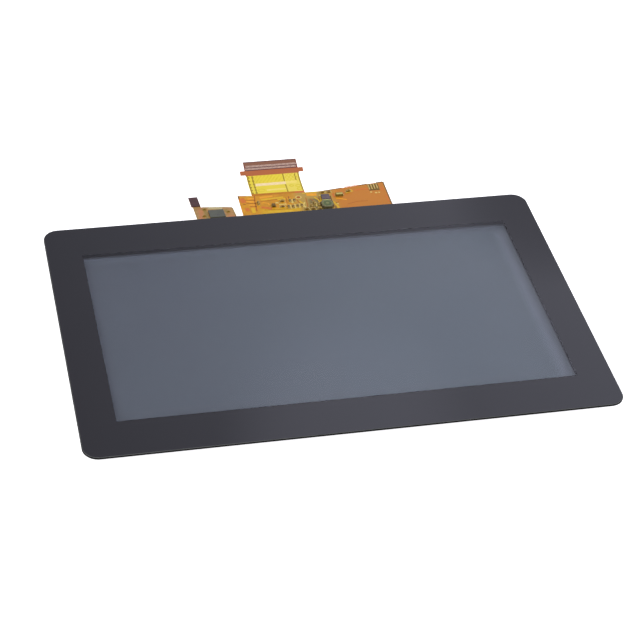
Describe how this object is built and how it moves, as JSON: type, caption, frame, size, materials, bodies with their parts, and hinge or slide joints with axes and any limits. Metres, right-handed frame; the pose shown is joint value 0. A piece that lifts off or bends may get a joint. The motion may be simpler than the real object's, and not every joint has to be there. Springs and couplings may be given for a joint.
{
  "type": "tft display module",
  "caption": "Flat colour display panel with a bonded touch glass, black border, steel tray and flexible circuits that leave from its upper edge.",
  "frame": {"origin": "centre of the cover glass's outline, on the plane that the rear frame's beads stand on", "axes": "+X along the long side, +Y towards the side that the flex circuits leave from, +Z towards the viewer"},
  "size_m": [0.18, 0.1531, 0.0069],
  "materials": {
    "cover_glass": "clear, polished",
    "black_ink": "black print under glass",
    "clear_adhesive": "clear",
    "panel_glass": "clear",
    "polarizer": "dark grey film",
    "foam_tape": "black foam",
    "frame_steel": "cold rolled",
    "white_moulding": "white",
    "light_guide_acrylic": "clear",
    "light_film": "translucent white",
    "reflector_film": "white",
    "copper_flex": "orange film over copper",
    "lamp_flex": "white film",
    "lamp_body": "white with a yellow window",
    "touch_flex_film": "orange film over copper",
    "stiff_film": "amber film",
    "dark_film": "black",
    "chip_resin": "matt black",
    "silicon": "bare silicon",
    "ceramic_part": "fired ceramic with tinned ends",
    "resistor_part": "black glaze with tinned ends",
    "ferrite": "dark grey",
    "tin": "tinned",
    "gold": "gold plated"
  },
  "bodies": {
    "root": {"cover_glass": "cover_glass", "border_print": "black_ink", "optical_adhesive": "clear_adhesive", "sensor_glass": "panel_glass", "touch_flex": "touch_flex_film", "touch_controller": "chip_resin", "touch_capacitors": "ceramic_part", "touch_stiffener": "dark_film", "touch_contacts": "gold", "panel_tape": "foam_tape", "front_frame": "frame_steel", "upper_polarizer": "polarizer", "colour_filter_glass": "panel_glass", "array_glass": "panel_glass", "lower_polarizer": "polarizer", "driver_chip_left": "silicon", "driver_chip_right": "silicon", "rim_tape": "foam_tape", "mould_frame": "white_moulding", "rear_frame": "frame_steel", "prism_sheet_upper": "light_film", "prism_sheet_lower": "light_film", "diffuser_sheet": "light_film", "light_guide": "light_guide_acrylic", "reflector_sheet": "reflector_film", "leds": "lamp_body", "led_flex": "lamp_flex", "display_flex": "copper_flex", "tail_stiffener": "stiff_film", "tail_contacts": "tin", "board_stiffener": "stiff_film", "power_chip": "chip_resin", "level_chip": "chip_resin", "boost_inductor": "ferrite", "boost_diode": "chip_resin", "board_capacitors": "ceramic_part", "board_resistors": "resistor_part", "backlight_solder": "tin"}
  },
  "joints": []
}
